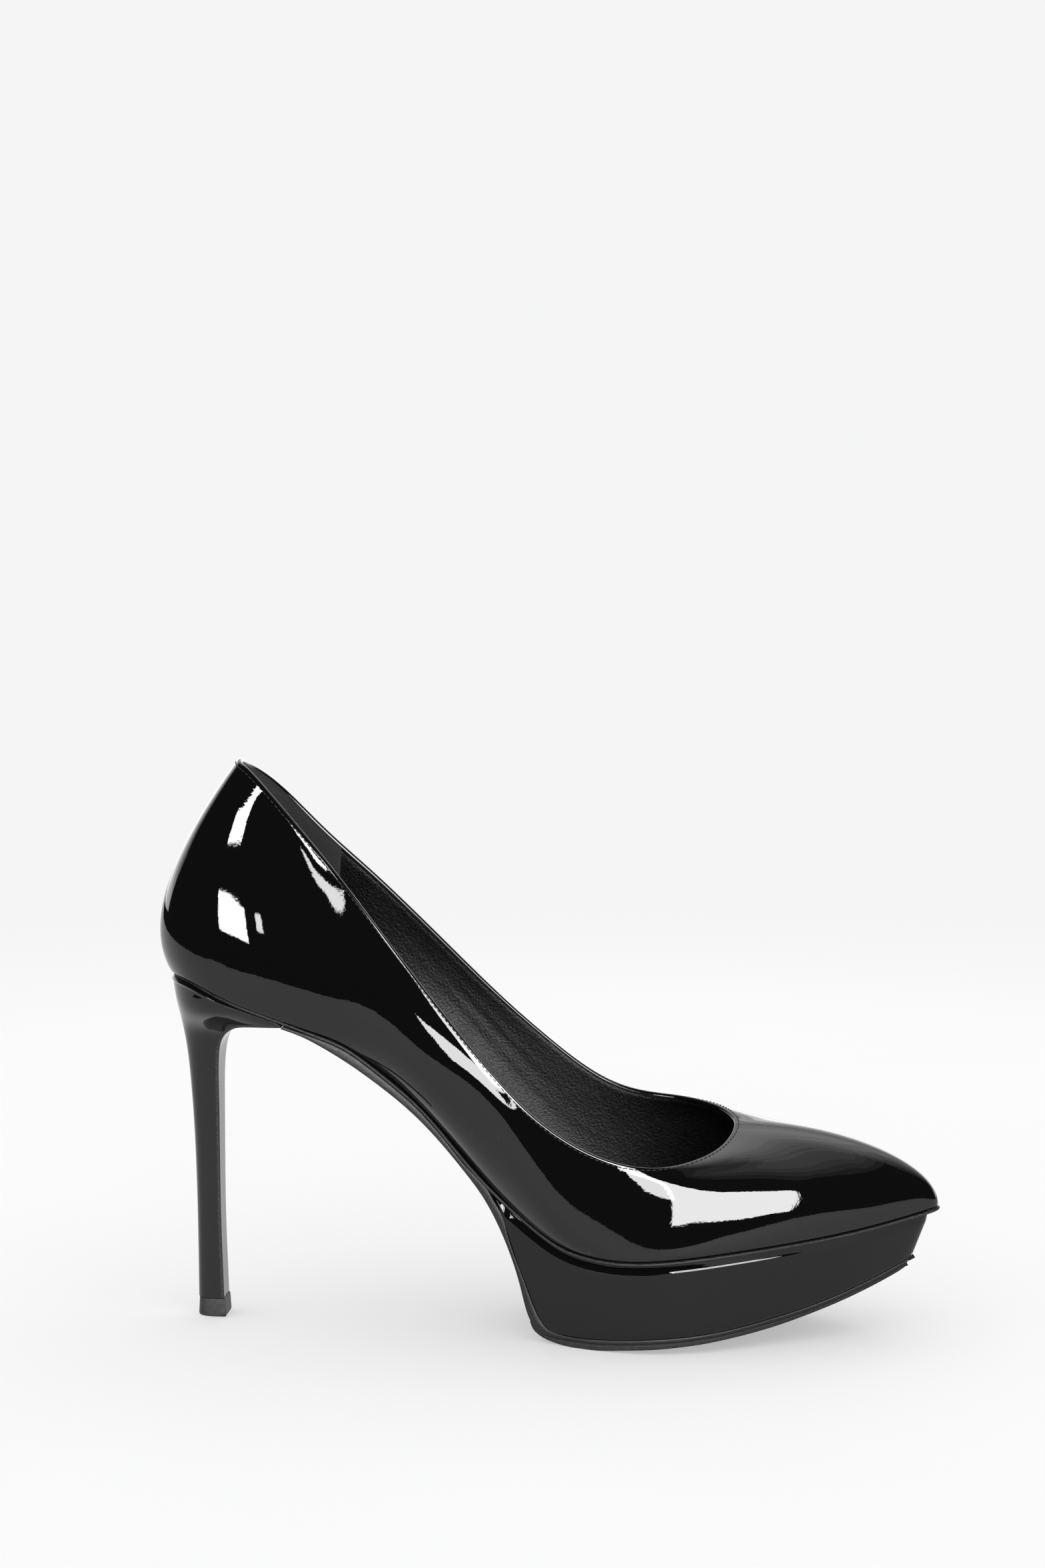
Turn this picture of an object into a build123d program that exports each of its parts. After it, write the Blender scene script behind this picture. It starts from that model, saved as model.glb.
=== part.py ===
from build123d import *
import math
import os
import numpy as np

# High heel pump, right foot: pointed toe, thin heel, raised forepart platform.
# Millimetres. +X runs to the toe, +Y to the inner side of the foot, +Z up.
# The shapes are laid out from the back of the heel (X = 0) on the ground (Z = 0),
# then moved so that the origin is under the middle of the whole shoe.
SHIFT_X = -115.95       # rearmost point of the upper to the middle of its length
SHIFT_Y = -0.47         # heel-to-toe line to the middle of the width

# Thickness of the layers
UPPER_T = 1.0           # coated leather
GAP = 0.05              # glue line between layers
INTER = (1.05, 1.65)    # depth of stiffeners and tape under the outer face
LINING = (1.70, 2.30)   # depth of the linings under the outer face
RAND_T = 1.2            # strip between the upper and the sole
BOARD = (1.05, 3.2)     # insole board, height above the feather line
FOAM = (3.25, 4.2)
SOCK = (4.25, 5.0)
SOLE_TOP = -1.25        # top of outsole, platform and heel under the feather line
COVER_T = 1.0           # leather round the platform
HEEL_COVER_T = 0.8      # leather round the heel
FLAP_T = 1.0            # leather down the front of the heel
MARGIN = 9.0            # lasting margin turned in under the insole
THREAD_R = 0.15
STITCH_EDGE = 1.5       # stitch row to the top edge

# Heel tip and fixings
TIP_H = 5.5
TUBE_X, TUBE_R, TUBE_BORE = 14.0, 2.4, 1.5
TUBE_Z = (5.7, 86.0)
SCREW_X, SCREW_R = 21.0, 1.6
SCREW_Z = 92.5         # point of the screw
NAILS = [(15.0, -6.5), (15.0, 6.5), (31.0, -8.5), (31.0, 8.5)]

# Feather line (lower edge of the upper), seen from the side
FEATHER = [(3.5, 105.1), (11.4, 104.4), (20.1, 101.1), (30, 97.4), (40, 93.8), (50, 90.2),
           (59.2, 86.1), (66.8, 80.5), (74.5, 74.1), (82.2, 66.8), (90, 57.6), (97.9, 48.6),
           (105.9, 41.2), (113.9, 35.1), (122, 30.5), (130, 28.4), (140, 27.7), (153.2, 28.4),
           (172.1, 30.1), (191, 31.7), (205, 33.3), (219.8, 35.9), (231, 38.2)]

# Ribs of the upper, each a cubic arc from the feather line to the top line:
# (feather x, y), (top x, y, z), lower handle (fwd, out, up), upper handle (fwd, out, down)
BACK = ((3.5, 0.0), (24.6, 0.0, 168.2), (-10.0, 0.0, 17.0), (-14.6, 0.0, 20.0))
TOE = ((231.0, 0.0), (170.9, 0.3, 61.2), (0.6, 0.0, 13.0), (29.0, 0.0, -1.2))
OUTER = [((5.2, 8.0), (25.7, 6.4, 167.9), (-8.3, 3.1, 17.3), (-13.0, 2.7, 18.3)),
         ((11.5, 17.0), (28.8, 10.9, 166.3), (-4.0, 3.0, 19.2), (-9.0, 4.3, 17.1)),
         ((24.0, 22.6), (36.0, 14.8, 159.7), (-1.0, 4.0, 20.9), (-5.0, 3.5, 17.0)),
         ((40.0, 23.3), (48.0, 18.5, 146.5), (0.0, 7.0, 17.1), (-2.0, 1.0, 17.7)),
         ((60.0, 21.3), (62.0, 21.8, 130.3), (0.0, 7.1, 8.6), (0.0, 3.1, 18.2)),
         ((82.0, 18.9), (79.4, 25.3, 108.7), (0.0, 12.1, 6.5), (1.0, 5.7, 18.9)),
         ((104.0, 21.0), (97.0, 28.9, 87.6), (0.0, 9.1, 7.4), (2.0, 4.4, 13.1)),
         ((122.0, 28.0), (112.0, 30.7, 71.2), (0.0, 7.6, 3.8), (3.0, 0.8, 11.6)),
         ((138.0, 33.8), (126.2, 31.2, 61.0), (0.0, 1.2, 3.8), (3.5, 0.8, 11.1)),
         ((153.0, 35.0), (139.0, 30.9, 55.9), (0.0, 1.2, 4.4), (5.0, 0.8, 7.7)),
         ((168.0, 31.7), (150.5, 28.4, 54.5), (0.5, 1.2, 3.8), (7.5, 4.0, 3.4)),
         ((184.0, 25.2), (159.0, 23.4, 55.2), (1.5, 1.2, 4.6), (11.0, 6.5, 1.5)),
         ((200.0, 17.6), (165.5, 16.4, 56.8), (2.0, 1.7, 7.8), (17.0, 7.9, 0.5)),
         ((214.0, 11.0), (168.9, 9.8, 58.6), (2.3, 1.3, 10.3), (23.0, 6.2, -0.1)),
         ((225.0, 5.4), (170.4, 4.8, 60.1), (1.8, 1.2, 12.9), (27.5, 3.3, -0.7))]
INNER = [((5.2, 8.0), (25.5, 5.6, 166.4), (-8.3, 2.7, 17.5), (-13.0, 1.4, 19.7)),
         ((11.5, 16.7), (28.3, 10.8, 163.9), (-4.0, 3.8, 17.2), (-9.0, 3.3, 20.2)),
         ((24.0, 21.8), (36.0, 16.1, 156.8), (-1.0, 4.5, 15.6), (-5.0, 4.5, 20.0)),
         ((40.0, 22.0), (48.0, 19.5, 144.2), (0.0, 7.2, 12.0), (-2.0, 4.6, 19.5)),
         ((60.0, 19.4), (62.0, 22.5, 130.9), (0.0, 10.0, 8.0), (0.0, 4.8, 19.0)),
         ((82.0, 16.8), (79.4, 26.0, 113.4), (0.0, 12.0, 8.0), (1.0, 6.0, 19.0)),
         ((104.0, 19.2), (97.0, 29.4, 95.3), (0.0, 12.0, 8.0), (2.0, 4.0, 17.5)),
         ((122.0, 26.6), (112.0, 31.5, 81.4), (0.0, 9.0, 7.0), (3.0, 1.4, 16.0)),
         ((138.0, 33.4), (126.2, 32.8, 70.4), (0.0, 3.5, 7.0), (3.5, 1.2, 13.5)),
         ((153.0, 36.3), (139.0, 32.6, 64.9), (0.0, 2.2, 7.0), (5.0, 1.2, 10.5)),
         ((168.0, 35.2), (150.5, 30.0, 63.8), (0.5, 2.0, 7.5), (7.5, 2.5, 7.0)),
         ((184.0, 30.0), (159.2, 24.8, 63.4), (1.0, 1.8, 9.0), (12.0, 3.4, 4.8)),
         ((200.0, 22.0), (165.6, 17.2, 62.9), (2.0, 2.6, 11.0), (18.0, 4.3, 3.3)),
         ((214.0, 14.0), (169.0, 10.2, 62.3), (2.3, 2.7, 12.6), (24.0, 3.6, 1.6)),
         ((225.0, 7.0), (170.4, 5.2, 61.7), (1.8, 2.7, 14.5), (28.0, 2.1, -0.1))]

# Side profiles of the bottom parts (x, z)
PLATFORM_REAR = [(102.3, 42.5), (103.8, 39.1), (106.2, 31.8), (109.0, 23.5), (111.8, 16.5),
                 (113.8, 11.4), (115.8, 7.2), (118.2, 4.3), (122.0, 3.4)]
PLATFORM_BASE = [(122, 3.4), (134, 3.5), (143.7, 4.2), (153.3, 4.9), (162.8, 5.6), (172.2, 6.7),
                 (181.7, 8.4), (191.2, 10.5), (200.7, 13.3), (210.3, 16.9), (218, 20.3),
                 (226, 24.6), (236, 30.5)]
WAIST_BASE = [(40, 91.4), (46.6, 88.9), (50.4, 86.9), (54.3, 84.6), (61.9, 79.5), (69.6, 73.6),
              (77.3, 67.0), (85.1, 59.0), (92.9, 49.8), (98.9, 41.9), (103, 34.6), (106.9, 25.4),
              (109.6, 17.0), (111.3, 10.4), (112.7, 6.6), (115.2, 3.6), (119, 2.3), (124, 2.0),
              (134, 2.1), (143.7, 2.85), (153.3, 3.55), (162.8, 4.3), (172.2, 5.4), (181.7, 7.1),
              (191.2, 9.1), (200.7, 11.9), (210.3, 15.5), (218, 18.9), (226, 23.2), (236, 29.1)]
TREAD_BASE = [(134, 0), (141, 0.7), (148.7, 1.3), (156.4, 2.0), (163.9, 2.7), (171.5, 3.7),
              (179, 4.9), (186.6, 6.5), (194.2, 8.6), (201.9, 11.1), (209.6, 14.0), (217.3, 17.4),
              (226, 21.9)]
BREAST = [(39.9, 91.4), (32.7, 90.7), (28.7, 90.3), (24.7, 89.4), (22.7, 88.2), (21.0, 86.7),
          (19.8, 84.9), (19.0, 82.7), (18.6, 80.3), (18.3, 76.2), (18.2, 66.0), (18.2, 46.0),
          (18.4, 25.6), (18.7, 15.4), (19.0, 5.6)]

# Level sections of the heel: height, back x, depth of the round back, half width, front half width
HORN = [(107, 3.7, 20, 21.4, 22.2), (101, 4.5, 20, 21.0, 22.0), (97, 5.2, 17, 18.8, 21.4),
        (94, 5.8, 15, 16.0, 20.6), (91, 6.3, 12.5, 12.4, 17.6), (88, 6.8, 10, 9.4, 11.6),
        (84, 7.5, 8, 7.5, 8.1), (78, 8.3, 6.5, 6.1, 6.2), (70, 9.0, 5.6, 5.2, 5.2),
        (58, 9.75, 5.0, 4.7, 4.7), (40, 10.35, 4.6, 4.4, 4.4), (20, 10.6, 4.4, 4.25, 4.25),
        (5.6, 10.65, 4.4, 4.3, 4.3)]


# ---------------------------------------------------------------- curves
def natural_cubic(points):
    """Smooth height curve through (x, z) points."""
    xs, ys = (np.array(c, float) for c in zip(*points))
    n, h = len(xs), np.diff(xs)
    a, b = np.eye(n), np.zeros(n)
    for i in range(1, n - 1):
        a[i, i - 1:i + 2] = h[i - 1], 2 * (h[i - 1] + h[i]), h[i]
        b[i] = 6 * ((ys[i + 1] - ys[i]) / h[i] - (ys[i] - ys[i - 1]) / h[i - 1])
    m = np.linalg.solve(a, b)

    def curve(x):
        i = int(np.clip(np.searchsorted(xs, x) - 1, 0, n - 2))
        d = xs[i + 1] - xs[i]
        p, q = (xs[i + 1] - x) / d, (x - xs[i]) / d
        return float(p * ys[i] + q * ys[i + 1] + ((p**3 - p) * m[i] + (q**3 - q) * m[i + 1]) * d * d / 6)
    return curve


feather_z = natural_cubic(FEATHER)


def level(x, n):
    """Height of the layer that lies n mm above the feather line, measured square to it."""
    slope = (feather_z(x + 0.5) - feather_z(x - 0.5))
    return feather_z(x) + n * math.sqrt(1 + slope * slope)


def rib_handles(rib, side):
    (fx, fy), (tx, ty, tz), low, high = rib
    f = np.array([fx, side * fy, feather_z(fx)])
    t = np.array([tx, side * ty, tz])
    return [f, f + np.array([low[0], side * low[1], low[2]]),
            t + np.array([high[0], side * high[1], -high[2]]), t]


RIBS = np.array([rib_handles(BACK, 1)] + [rib_handles(r, -1) for r in OUTER]
                + [rib_handles(TOE, 1)] + [rib_handles(r, 1) for r in reversed(INNER)])
COUNT = len(RIBS)
RING = np.linalg.solve((4 * np.eye(COUNT) + np.roll(np.eye(COUNT), 1, 0)
                        + np.roll(np.eye(COUNT), -1, 0)) / 6,
                       RIBS.reshape(COUNT, -1)).reshape(COUNT, 4, 3)


def on_upper(u, v):
    """Outer face of the upper. u runs 0 to 1 from the back seam, round the outer side and
    the toe, and back along the inner side. v runs 0 to 1 from feather line to top line."""
    t = (u % 1.0) * COUNT
    i, f = int(t), t - int(t)
    w = np.array([(1 - f)**3, 3 * f**3 - 6 * f**2 + 4, -3 * f**3 + 3 * f**2 + 3 * f + 1, f**3]) / 6
    c = sum(w[k] * RING[(i + k - 1) % COUNT] for k in range(4))
    return np.array([(1 - v)**3, 3 * v * (1 - v)**2, 3 * v * v * (1 - v), v**3]) @ c


def inward(u, v):
    """Unit normal of the upper, pointing to the foot."""
    e = 1e-3
    du = on_upper(u + e, v) - on_upper(u - e, v)
    dv = on_upper(u, min(v + e, 1)) - on_upper(u, max(v - e, 0))
    n = np.cross(dv, du)
    return n / np.linalg.norm(n)


def flat_inward(u):
    """Unit normal of the feather line in plan, pointing to the middle of the sole."""
    d = on_upper(u + 1e-3, 0) - on_upper(u - 1e-3, 0)
    n = np.array([-d[1], d[0]])
    return n / np.linalg.norm(n)


def blend(a, b, x):
    """0 below a, 1 above b, smooth between."""
    t = min(max((x - a) / (b - a), 0.0), 1.0)
    return t * t * (3 - 2 * t)


def outline(inset, points=40):
    """Plan outline of the feather line, moved in by inset (a number or a function of x)."""
    out = []
    for k in range(points):
        u = k / points
        p = on_upper(u, 0)
        d = inset(p[0]) if callable(inset) else inset
        out.append(tuple(p[:2] + d * flat_inward(u)))
    return out


def margin_inset(x):
    """Width of the turned-in margin: narrower toward the point of the toe."""
    return MARGIN - (MARGIN - 3.2) * blend(190, 226, x)


# ---------------------------------------------------------------- solids
def closed_face(points, z):
    return Face(Wire([Spline([(x, y, z) for x, y in points], periodic=True)]))


def prism(inset):
    """Upright column over the feather outline."""
    return extrude(closed_face(outline(inset), -2.0), amount=190, dir=(0, 0, 1))


def drawn_in(points):
    """Outlines of the under-body at the rand, where its toe stands back a little, and at the ground."""
    top = [(x - 2.3 * blend(205, 232, x), y) for x, y in points]
    low = [(tx - 15 * blend(135, 232, x), y * 0.925) for (tx, _), (x, y) in zip(top, points)]
    return top, low


def under_body(inset):
    """Column that narrows toward the ground under the forepart, upright above it."""
    top, low = drawn_in(outline(inset))
    column = [closed_face(low, -4), closed_face(top, 36), closed_face(top, 112)]
    return loft(column, ruled=True)


def slab(upper_edge, lower_edge):
    """Across-the-shoe slab between two side profiles given as (x, z) lists, same direction."""
    a = [(x, 0, z) for x, z in upper_edge]
    b = [(x, 0, z) for x, z in lower_edge]
    edges = [Spline(a), Line(a[-1], b[-1]), Spline(b[::-1]), Line(b[0], a[0])]
    return extrude(Face(Wire(edges)), amount=60, both=True)


def layer(x0, x1, low, high):
    """Slab that follows the feather line between two heights above it."""
    xs = np.linspace(x0, x1, 16)
    return slab([(x, level(x, high)) for x in xs], [(x, level(x, low)) for x in xs])


def grid_face(points):
    return Face.make_surface_from_array_of_points([[Vector(*p) for p in row] for row in points])


def edge_near(face, point):
    """The boundary edge of a face whose middle is closest to a point."""
    return min(face.edges(), key=lambda e: (e @ 0.5 - Vector(*point)).length)


def ruled(a, b):
    return Face.make_surface_from_curves(a, b)


def closed_body(faces):
    body = Solid(Shell(faces))
    return body if body.volume > 0 else Solid(Shell([-f for f in faces]))


def sheet_faces(u0, u1, v0, v1, depth, across, along):
    """Outer and inner face of a sheet, with the boundary edge pairs: start, end, bottom, top."""
    us, vs = np.linspace(u0, u1, along), np.linspace(v0, v1, across)
    rows = [[[on_upper(u, v) + d * inward(u, v) for v in vs] for u in us] for d in depth]
    faces = [grid_face(r) for r in rows]
    middles = [(0, across // 2), (-1, across // 2), (along // 2, 0), (along // 2, -1)]
    edges = [[edge_near(face, r[i][j]) for face, r in zip(faces, rows)] for i, j in middles]
    return faces, edges


def skin(u0, u1, v0, v1, depth, across=9, along=None):
    """Curved sheet that follows the upper between two depths under its outer face."""
    along = along or max(5, int(abs(u1 - u0) * COUNT * 2) + 3)
    faces, edges = sheet_faces(u0, u1, v0, v1, depth, across, along)
    return closed_body(faces + [ruled(*pair) for pair in edges])


def upper_with_margin(u0, u1, along=97, across=11):
    """The upper's wall and the margin turned in under the insole, as one sheet."""
    faces, (start, end, bottom, top) = sheet_faces(u0, u1, 0.0, 1.0, (0.0, UPPER_T), across, along)
    rims = []
    for lift in (0.0, UPPER_T):
        run = []
        for u in np.linspace(u0, u1, along):
            x, y = on_upper(u, 0)[:2]
            x, y = (x, y) + margin_inset(x) * flat_inward(u)
            run.append((x, y, level(x, lift)))
        rims.append(Spline(run).edge())
    faces += [ruled(*start), ruled(*end), ruled(*top), ruled(rims[0], rims[1])]
    faces += [ruled(bottom[0], rims[0]), ruled(bottom[1], rims[1])]
    for t, corner in ((0, 0), (1, -1)):
        ends = []
        for edge, rim in zip(bottom, rims):
            near = min((edge @ 0, edge @ 1), key=lambda p: (p - rim @ t).length)
            ends.append(Line(near, rim @ t).edge())
        faces.append(ruled(*ends))
    return closed_body(faces)


def u_section(z, back, depth, half, front_half, inset=0.0, front=46.0):
    """Level section of the heel: round at the back, open toward the front."""
    b, h, g = back + inset, half - inset, front_half - inset
    d = depth - 0.5 * inset
    side = [(b + d * (1 - math.cos(a)), h * math.sin(a)) for a in (0, 0.4, 0.8, 1.2)]
    side += [(b + d + 0.15 * (front - b - d), h + 0.12 * (g - h)),
             (b + d + 0.55 * (front - b - d), h + 0.62 * (g - h)), (front, g)]
    points = [(x, -y, z) for x, y in side[:0:-1]] + [(x, y, z) for x, y in side]
    return Face(Wire([Spline(points), Line(points[-1], points[0])]))


def horn(inset=0.0):
    """The heel's outer flare, still too long at the top and the front."""
    return loft([u_section(*row, inset=inset) for row in reversed(HORN)])


def curve_offset(points, d):
    """Points moved square to their own run by d, to the left of the run."""
    p = np.array(points, float)
    t = np.gradient(p, axis=0)
    n = np.stack([-t[:, 1], t[:, 0]], 1) / np.linalg.norm(t, axis=1)[:, None]
    return [tuple(q) for q in p + d * n]


def upright(x, y, r, z0, z1):
    return Pos(x, y, z0) * Cylinder(r, z1 - z0, align=(Align.CENTER, Align.CENTER, Align.MIN))


parts = {}

# ---------------------------------------------------------------- upper and its layers
SEAM = 0.0008
parts["upper"] = upper_with_margin(SEAM, 1 - SEAM)

S = 1.0 / COUNT
parts["heel_grip"] = skin(-4.3 * S, 4.3 * S, 0.04, 0.985, LINING, along=21)
parts["quarter_lining_lateral"] = skin(4.33 * S, 8.98 * S, 0.04, 0.985, LINING)
parts["vamp_lining"] = skin(9.02 * S, 22.98 * S, 0.04, 0.985, LINING)
parts["quarter_lining_medial"] = skin(23.02 * S, 27.67 * S, 0.04, 0.985, LINING)
parts["heel_counter"] = skin(-6.5 * S, 6.5 * S, 0.04, 0.55, INTER, along=25)
parts["toe_puff"] = skin(12 * S, 20 * S, 0.04, 0.55, INTER)
parts["side_stiffener_lateral"] = skin(6.6 * S, 11.9 * S, 0.04, 0.88, INTER)
parts["side_stiffener_medial"] = skin(20.1 * S, 25.4 * S, 0.04, 0.88, INTER)
parts["back_seam_tape"] = skin(-0.6 * S, 0.6 * S, 0.58, 0.88, (1.05, 1.35), along=5)
parts["topline_tape"] = skin(SEAM, 1 - SEAM, 0.90, 0.985, INTER, along=81, across=3)


def stitch_row():
    """The thread of the stitched top edge, laid on the outer face."""
    path = []
    for u in np.linspace(0.004, 0.996, 60):
        rib = np.linalg.norm(on_upper(u, 1) - on_upper(u, 0.97)) / 0.03
        v = 1 - STITCH_EDGE / rib
        path.append(tuple(on_upper(u, v) - (THREAD_R + 0.03) * inward(u, v)))
    line = Spline(path)
    return sweep(Plane(line ^ 0) * Circle(THREAD_R), path=line)


parts["topline_stitching"] = stitch_row()

# ---------------------------------------------------------------- insole and fillings
HEAD_Z = level(SCREW_X, BOARD[1])
screw = upright(SCREW_X, 0, SCREW_R, SCREW_Z, HEAD_Z - 1.6) + upright(SCREW_X, 0, 3.0, HEAD_Z - 1.6, HEAD_Z - 0.3)
nails = [upright(x, y, 0.7, 93.5, level(x, BOARD[1]) - 0.7)
         + upright(x, y, 1.5, level(x, BOARD[1]) - 0.7, level(x, BOARD[1]) - 0.2) for x, y in NAILS]


def fixing_holes(z1=130):
    """Clearance columns for the screw and the nails."""
    holes = upright(SCREW_X, 0, SCREW_R + GAP, SCREW_Z - 0.1, z1)
    for x, y in NAILS:
        holes += upright(x, y, 0.7 + GAP, 93.4, z1)
    return holes


HOLES = fixing_holes()
head_room = upright(SCREW_X, 0, 3.05, HEAD_Z - 1.65, 130)
for nail_x, nail_y in NAILS:
    head_room += upright(nail_x, nail_y, 1.55, level(nail_x, BOARD[1]) - 0.75, 130)

parts["heel_screw"] = screw
parts["heel_nails"] = Compound(nails)
parts["insole_board"] = (prism(2.45) & layer(1.5, 236, *BOARD)) - HOLES - head_room
parts["sock_foam"] = prism(3.6) & layer(1.5, 236, *FOAM)
parts["sock_lining"] = prism(2.6) & layer(1.5, 236, *SOCK)

shank_plan = Plane.XY.offset(10) * SlotOverall(104, 11)
shank = extrude(Pos(64, 0, 0) * shank_plan, amount=110) & layer(8, 120, 0.03, 1.0)
shank -= HOLES
rivets = [(106.0, 0.0), (110.5, 0.0)]
for x, y in rivets:
    shank -= upright(x, y, 1.3 + GAP, 20, 80)
parts["steel_shank"] = shank
parts["shank_rivets"] = Compound([upright(x, y, 1.3, level(x, 0.1), level(x, 2.6)) for x, y in rivets])
for x, y in rivets:
    parts["insole_board"] -= upright(x, y, 1.3 + GAP, 20, level(x, 2.6) + GAP)

filler_plan = prism(lambda x: margin_inset(x) + 0.5)
filler = filler_plan & layer(118, 229, -1.2, 1.0)
filler += filler_plan & layer(10, 118.2, -1.2, -0.02)
parts["bottom_filler"] = filler.solid() - HOLES


# ---------------------------------------------------------------- rand, platform and soles
def rand_edge(x):
    """The strip stands proud of the waist and forepart and sits back over the heel."""
    return 0.9 - 1.4 * blend(38, 54, x)


def rand_inner(x):
    return 6.0 - 2.6 * blend(190, 226, x)


parts["rand"] = (prism(rand_edge) - prism(rand_inner)) & layer(1.0, 236, -RAND_T, -0.05)

top_edge = [(x, level(x, SOLE_TOP - 0.02)) for x in np.linspace(102.3, 236, 20)]
side_profile = [Spline([(x, 0, z) for x, z in top_edge]),
                Spline([(x, 0, z) for x, z in [top_edge[0]] + PLATFORM_REAR[1:]]),
                Spline([(x, 0, z) for x, z in PLATFORM_BASE]),
                Line((PLATFORM_BASE[-1][0], 0, PLATFORM_BASE[-1][1]), (236, 0, top_edge[-1][1]))]
platform_slab = extrude(Face(Wire(side_profile)), amount=60, both=True)
platform = under_body(0.25) & platform_slab

core_top = [(x, level(x, SOLE_TOP - 0.02 - COVER_T - GAP)) for x in np.linspace(104.6, 236, 20)]
core_rear = curve_offset([(102.3, 42.5)] + PLATFORM_REAR[1:], COVER_T + GAP)[1:]
core_base = curve_offset(PLATFORM_BASE, COVER_T + GAP)[1:]


def core_slab(extra):
    """Side profile inside the platform cover."""
    top = [(x, 0, z + extra) for x, z in core_top]
    rear = [(x - extra, 0, z) for x, z in core_rear]
    base = [(x, 0, z - extra) for x, z in core_base]
    rear[0] = (top[0][0], 0, top[0][2])
    rear_z = natural_cubic([(p[0], p[2]) for p in base])
    rear = [p for p in rear if p[2] > rear_z(base[0][0]) + 0.6]
    edges = [Spline(top), Spline(rear + [base[0]]), Spline(base), Line(base[-1], top[-1])]
    return extrude(Face(Wire(edges)), amount=60, both=True)


inside = under_body(0.25 + COVER_T) & core_slab(GAP)
parts["platform_core"] = under_body(0.25 + COVER_T + GAP) & core_slab(0.0)
window = prism(lambda x: 10.0 - 5.5 * blend(180, 226, x)) & slab([(124, 70), (214, 70)], [(124, -3), (214, -3)])
parts["platform_cover"] = platform - inside - window

sole_top = [(x, level(x, SOLE_TOP - 0.02)) for x in np.linspace(40, 101.2, 14)]
sole_top += curve_offset([(102.3, 42.5)] + PLATFORM_REAR[1:], -GAP)[1:-1]
sole_top += [(x, z - GAP) for x, z in PLATFORM_BASE]
outsole = under_body(lambda x: 0.1 + 0.5 * blend(100, 112, x)) & slab(sole_top, WAIST_BASE)
parts["outsole"] = outsole


def polygon(points):
    return Face(Wire(Polyline(points, close=True).edges()))


def cut_column(inset):
    """The same narrowing column with straight-cut sides, as the half sole is trimmed with a knife."""
    top, low = drawn_in(outline(inset, 72))
    sides = [(low, -4), (top, 36)]
    return loft([polygon([(x, y, z) for x, y in points]) for points, z in sides], ruled=True)


tread_top = [(x, 0, z - GAP) for x, z in WAIST_BASE if x > 112]
tread_rear = [(113.6, 0, 3.9), (115.6, 0, 2.1), (119.0, 0, 0.8), (124.0, 0, 0.0)]
tread_base = [(x, 0, z) for x, z in TREAD_BASE] + [(236, 0, 27.6)]
tread_profile = polygon(tread_rear + tread_base + tread_top[::-1])
parts["half_sole"] = cut_column(0.8) & extrude(tread_profile, amount=60, both=True)


# ---------------------------------------------------------------- heel
def heel_slab(front_offset, top_drop, x1=39.9):
    """Side profile of the heel: seat curve above, breast curve in front."""
    seat = [(x, 0, level(x, SOLE_TOP - top_drop)) for x in np.linspace(2, x1, 12)]
    curve = curve_offset(BREAST, -front_offset)
    lip = np.interp(x1, [x for x, z in curve[2::-1]], [z for x, z in curve[2::-1]])
    front = [(x1, 0, lip)] + [(x, 0, z) for x, z in curve[1:-1] if x < x1 - 1]
    front += [(curve[-1][0], 0, 5.6)]
    edges = [Spline(seat), Line(seat[-1], front[0]), Spline(front),
             Line(front[-1], (2, 0, 5.6)), Line((2, 0, 5.6), seat[0])]
    return extrude(Face(Wire(edges)), amount=60, both=True)


outer_horn, inner_horn, core_horn = horn(), horn(HEEL_COVER_T), horn(HEEL_COVER_T + GAP)
flap_back = curve_offset(BREAST, -FLAP_T)
flap_back[-1] = (flap_back[-1][0], BREAST[-1][1])
parts["breast_flap"] = outer_horn & slab(flap_back, BREAST)
parts["heel_cover"] = (outer_horn & heel_slab(FLAP_T + GAP, 0.02, 37.5)) - inner_horn
bore = upright(TUBE_X, 0, TUBE_R + GAP, 5.0, TUBE_Z[1] + GAP)
parts["heel_core"] = (core_horn & heel_slab(FLAP_T + 2 * GAP, 0.05, 36.6)) - bore - HOLES
parts["heel_tube"] = (upright(TUBE_X, 0, TUBE_R, *TUBE_Z) - upright(TUBE_X, 0, TUBE_BORE, 5.0, 70.0))


def tip_outline(z, grow):
    """D-shaped section of the heel tip."""
    points = [(10.9 - grow, 0), (12.1 - grow * 0.8, 3.2 + grow * 0.6), (15.2, 4.45 + grow), (19.3 + grow, 4.45 + grow)]
    ring = [(x, -y, z) for x, y in points[:0:-1]] + [(x, y, z) for x, y in points]
    return Face(Wire([Spline(ring), Line(ring[-1], ring[0])]))


tip = loft([tip_outline(0.0, 0.25), tip_outline(TIP_H, 0.0)])
dowel = upright(TUBE_X, 0, TUBE_BORE - 0.02, 2.2, 16.0)
parts["top_piece_dowel"] = dowel
parts["top_piece"] = tip - upright(TUBE_X, 0, TUBE_BORE, 2.15, TIP_H + 1)


# ---------------------------------------------------------------- write
os.makedirs("parts", exist_ok=True)
for name, shape in parts.items():
    solids = shape.solids()
    shape = solids[0] if len(solids) == 1 else Compound(solids)
    moved = Pos(SHIFT_X, SHIFT_Y, 0) * shape
    moved.label = name
    export_step(moved, f"parts/{name}.step")
    box = moved.bounding_box()
    print(f"{name:26s} solids {len(solids):3d}  vol {moved.volume / 1000:8.2f} cm3  "
          f"x {box.min.X:7.1f} {box.max.X:7.1f}  z {box.min.Z:6.1f} {box.max.Z:6.1f}")
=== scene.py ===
import math
import bmesh
import bpy
import numpy as np
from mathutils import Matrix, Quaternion, Vector


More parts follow.
